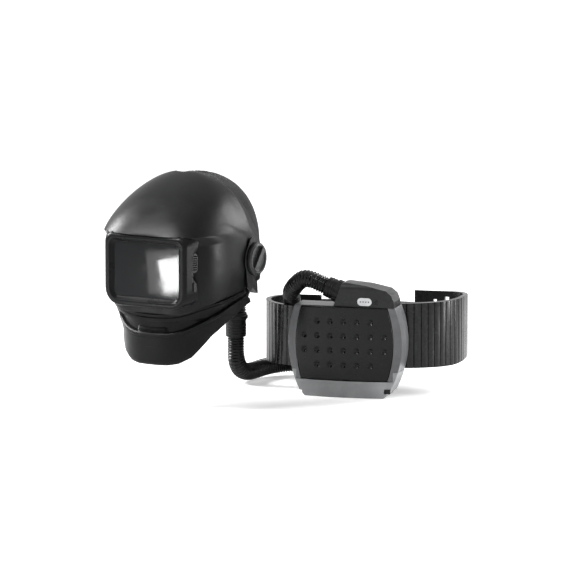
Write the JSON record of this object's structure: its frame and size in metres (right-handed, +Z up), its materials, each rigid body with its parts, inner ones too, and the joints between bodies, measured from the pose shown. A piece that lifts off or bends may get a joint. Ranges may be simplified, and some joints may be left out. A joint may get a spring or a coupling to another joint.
{
  "type": "powered air respirator",
  "caption": "Powered air respirator: flip-up welding helmet with jaw guard, ribbed breathing hose and belt-worn blower with battery and segmented hip belt.",
  "frame": {"origin": "midpoint between the two shield pivots of the helmet, where the wearer's head is", "axes": "+X the wearer's left, -Y the way the face looks, +Z up"},
  "size_m": [0.5163, 0.5844, 0.4145],
  "materials": {
    "shield_black": "satin moulded black",
    "bezel_black": "satin moulded black",
    "cover_clear": "clear polycarbonate",
    "cassette_black": "fine texture",
    "filter_glass": "dark coated glass",
    "spring_steel": "brushed",
    "trim_grey": "satin",
    "knob_black": "satin with light ring",
    "steel": "machined",
    "harness_black": "flexible moulding",
    "visor_clear": "clear polycarbonate",
    "seal_cloth": "knitted face seal",
    "jaw_black": "satin moulded black",
    "filter_mesh": "felt",
    "cover_cloth": "woven crown cover",
    "foam_grey": "foam pad",
    "duct_black": "satin",
    "hose_rubber": "ribbed rubber",
    "cuff_black": "moulded cuff",
    "housing_grey": "fine spark texture",
    "cover_black": "satin",
    "filter_white": "pleated paper",
    "gasket": "soft",
    "impeller_white": "moulded",
    "motor_metal": "turned",
    "board_green": "solder resist",
    "window_black": "gloss window",
    "lamp_green": "diffusing",
    "battery_grey": "fine spark texture",
    "cell_blue": "shrink sleeve",
    "belt_grey": "soft segmented pad",
    "webbing": "woven strap"
  },
  "bodies": {
    "fixed": {"pivot_axles": "steel", "side_arms": "harness_black", "visor_carrier": "harness_black", "clear_visor": "visor_clear", "face_seal": "seal_cloth", "jaw_guard": "jaw_black", "exhaust_filter": "filter_mesh", "head_cover": "cover_cloth", "headband": "harness_black", "sweatband": "foam_grey", "crown_straps": "harness_black", "ratchet_housing": "harness_black", "nape_pad": "foam_grey", "air_duct": "duct_black", "duct_bellows": "hose_rubber", "hose_cuff_helmet": "cuff_black", "breathing_hose": "hose_rubber", "hose_cuff_blower": "cuff_black", "rear_housing": "housing_grey", "front_housing": "housing_grey", "spark_arrestor": "steel", "prefilter": "filter_white", "particle_filter": "filter_white", "filter_seal": "gasket", "fan_scroll": "harness_black", "motor": "motor_metal", "outlet_hump": "housing_grey", "outlet_seal": "gasket", "control_board": "board_green", "indicator_window": "window_black", "indicator_lamps": "lamp_green", "housing_screws": "steel", "belt_bracket": "harness_black", "belt_wing_left": "belt_grey", "belt_wing_right": "belt_grey", "belt_webbing": "webbing", "buckle_body": "knob_black"},
    "shield": {"shield_shell": "shield_black", "visor_bezel": "bezel_black", "cover_plate": "cover_clear", "filter_cassette": "cassette_black", "filter_glass": "filter_glass", "retainer_frame": "spring_steel", "side_vents": "trim_grey", "pivot_plates": "trim_grey"},
    "mode_button": {"mode_button": "trim_grey"},
    "knob_left": {"pivot_knob_left": "knob_black"},
    "knob_right": {"pivot_knob_right": "knob_black"},
    "ratchet": {"ratchet_knob": "trim_grey"},
    "swivel": {"swivel_ring": "cuff_black"},
    "hose_latch": {"latch_button": "trim_grey"},
    "collar": {"bayonet_collar": "cuff_black"},
    "power_key": {"power_button": "trim_grey"},
    "filter_door": {"filter_cover": "cover_black"},
    "battery": {"battery_case": "battery_grey", "battery_cells": "cell_blue"},
    "battery_catch": {"battery_latch": "trim_grey"},
    "rotor": {"impeller": "impeller_white", "motor_shaft": "steel"},
    "buckle_key": {"buckle_release": "trim_grey"}
  },
  "joints": [
    {"name": "shield_flip", "type": "hinge", "parent": "fixed", "child": "shield", "pos_m": [0, 0, 0], "axis": [-1, 0, 0], "range_deg": [0, 65]},
    {"name": "mode_press", "type": "slide", "parent": "shield", "child": "mode_button", "axis": [-0.9138, 0.4061, 0], "range_m": [0, 0.0012], "stiffness_N_per_m": 400},
    {"name": "knob_left_turn", "type": "hinge", "parent": "fixed", "child": "knob_left", "pos_m": [0.128, 0, 0], "axis": [1, 0, 0], "range_deg": [0, 90]},
    {"name": "knob_right_turn", "type": "hinge", "parent": "fixed", "child": "knob_right", "pos_m": [-0.128, 0, 0], "axis": [-1, 0, 0], "range_deg": [0, 90]},
    {"name": "ratchet_turn", "type": "hinge", "parent": "fixed", "child": "ratchet", "pos_m": [0, 0.1, 0.025], "axis": [0, 1, 0], "range_deg": [0, 360]},
    {"name": "hose_swivel", "type": "hinge", "parent": "fixed", "child": "swivel", "pos_m": [0, 0.15, -0.135], "axis": [0, 0, 1], "range_deg": [-45, 45]},
    {"name": "hose_latch_press", "type": "slide", "parent": "swivel", "child": "hose_latch", "axis": [0, -1, 0], "range_m": [0, 0.0011], "stiffness_N_per_m": 400},
    {"name": "collar_turn", "type": "hinge", "parent": "fixed", "child": "collar", "pos_m": [0.21744, 0.15263, -0.0745], "axis": [-0.9018, -0.2416, 0.3584], "range_deg": [0, 30]},
    {"name": "power_press", "type": "slide", "parent": "fixed", "child": "power_key", "axis": [-0.2588, 0.9659, 0], "range_m": [0, 0.001], "stiffness_N_per_m": 400},
    {"name": "filter_cover_slide", "type": "slide", "parent": "fixed", "child": "filter_door", "axis": [0.2588, -0.9659, 0], "range_m": [0, 0.04]},
    {"name": "battery_slide", "type": "slide", "parent": "fixed", "child": "battery", "axis": [0, 0, -1], "range_m": [0, 0.05]},
    {"name": "battery_catch_press", "type": "slide", "parent": "battery", "child": "battery_catch", "axis": [-0.2588, 0.9659, 0], "range_m": [0, 0.0015], "stiffness_N_per_m": 400},
    {"name": "fan_spin", "type": "hinge", "parent": "fixed", "child": "rotor", "pos_m": [0.22612, 0.17049, -0.1642], "axis": [-0.2588, 0.9659, 0], "continuous": true},
    {"name": "buckle_press", "type": "slide", "parent": "fixed", "child": "buckle_key", "axis": [0.2588, -0.9659, 0], "range_m": [0, 0.0015], "stiffness_N_per_m": 400}
  ]
}
